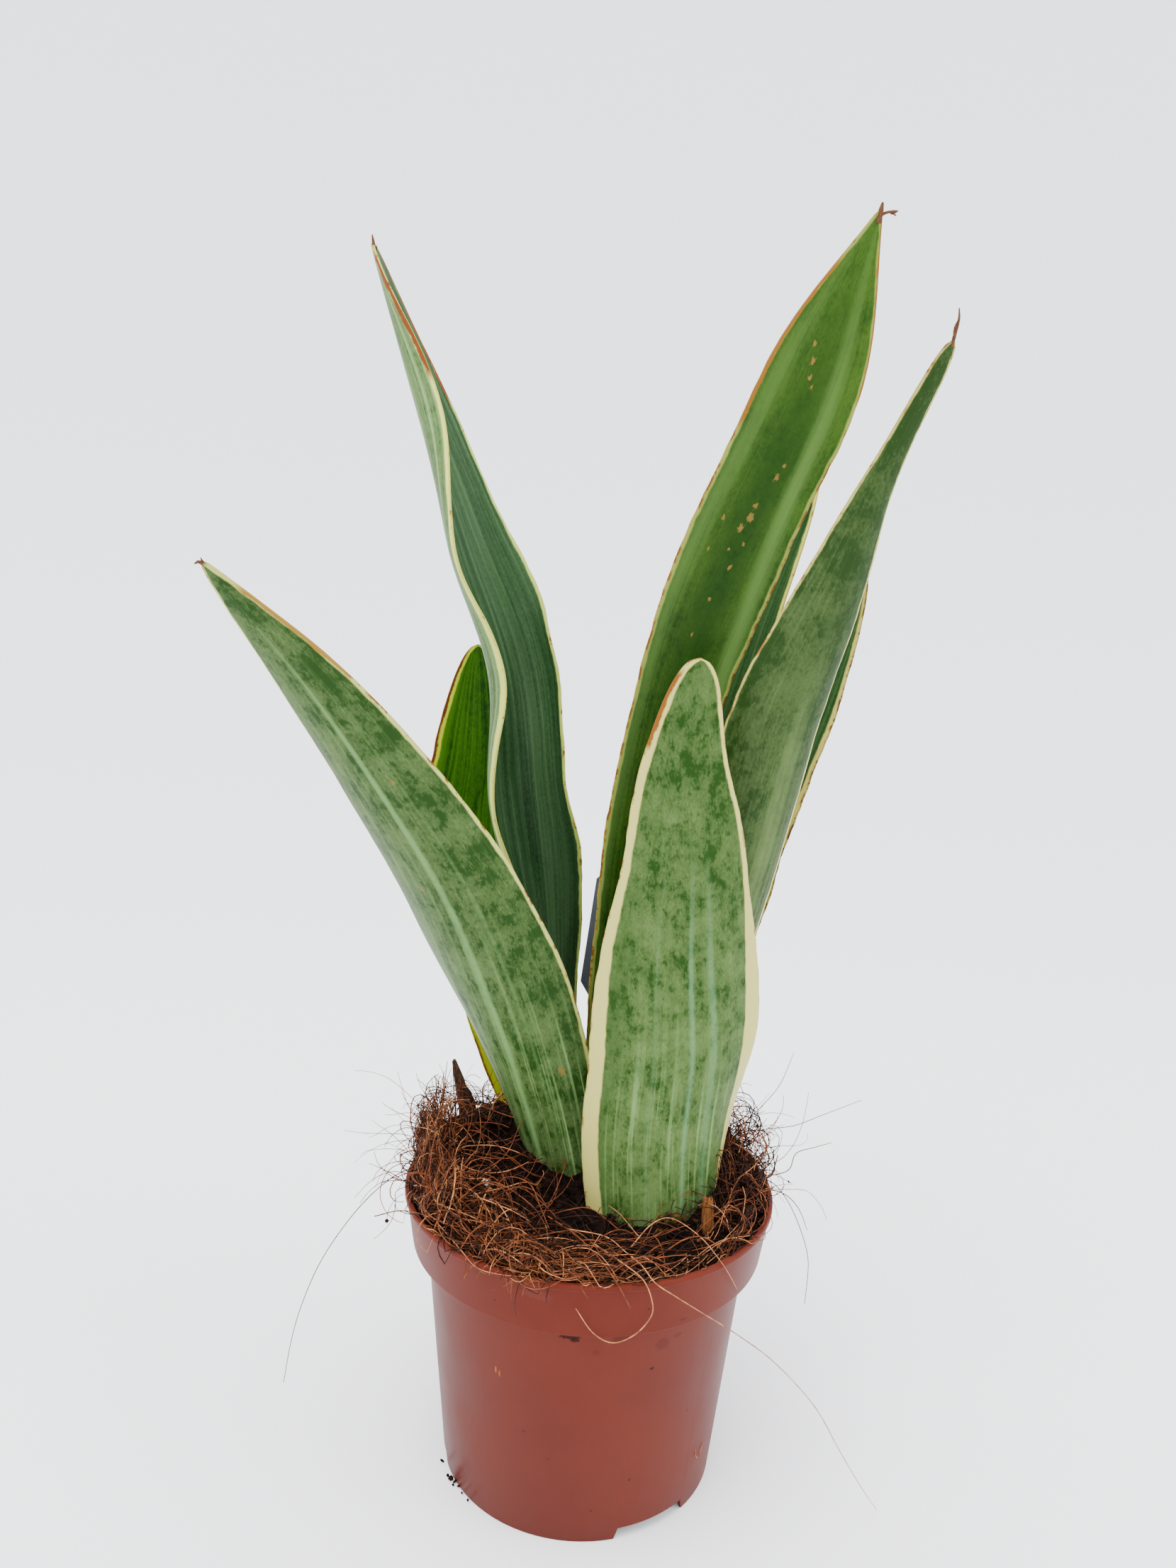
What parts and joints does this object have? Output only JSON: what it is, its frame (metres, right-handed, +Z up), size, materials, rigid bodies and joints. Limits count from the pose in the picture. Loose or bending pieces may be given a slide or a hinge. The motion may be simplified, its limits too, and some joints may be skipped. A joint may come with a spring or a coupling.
{
  "type": "potted snake plant",
  "caption": "Young snake plant with upright channelled leaves, growing from peaty soil and loose coir in a round tapered plastic nursery pot.",
  "frame": {"origin": "on the pot's axis, in the plane the pot stands on, at the middle of its raised foot", "axes": "+Z up along the pot's axis and the leaves, -Y to the front of the plant, +X to its right as seen from the front"},
  "size_m": [0.1919, 0.1205, 0.3942],
  "materials": {
    "leaf_silver": "waxy satin, mottled silver-green with a cream margin",
    "leaf_green": "waxy satin, yellow-green with dark stripes",
    "leaf_dark": "waxy satin, dark blue-green with fine stripes",
    "rhizome": "smooth, matt",
    "pot_plastic": "moulded, satin, terracotta brown",
    "label_plastic": "smooth, satin, slate grey",
    "dead_leaf": "dry, torn, matt",
    "bark": "rough, matt",
    "soil": "damp peat and coir crumbs, matt",
    "coir": "loose matted fibre, matt"
  },
  "bodies": {
    "root": {"leaf_front_left": "leaf_silver", "leaf_front_right": "leaf_silver", "leaf_tall_right": "leaf_green", "leaf_outer_right": "leaf_silver", "leaf_tall_left": "leaf_dark", "leaf_back_left": "leaf_green", "leaf_back_middle": "leaf_dark", "leaf_back_right": "leaf_dark", "rhizome": "rhizome", "pot": "pot_plastic", "plant_label": "label_plastic", "old_leaf_stub": "dead_leaf", "bark_chip": "bark", "soil": "soil", "coir_tuft_left": "coir", "coir_tuft_front": "coir", "coir_tuft_right": "coir"}
  },
  "joints": []
}
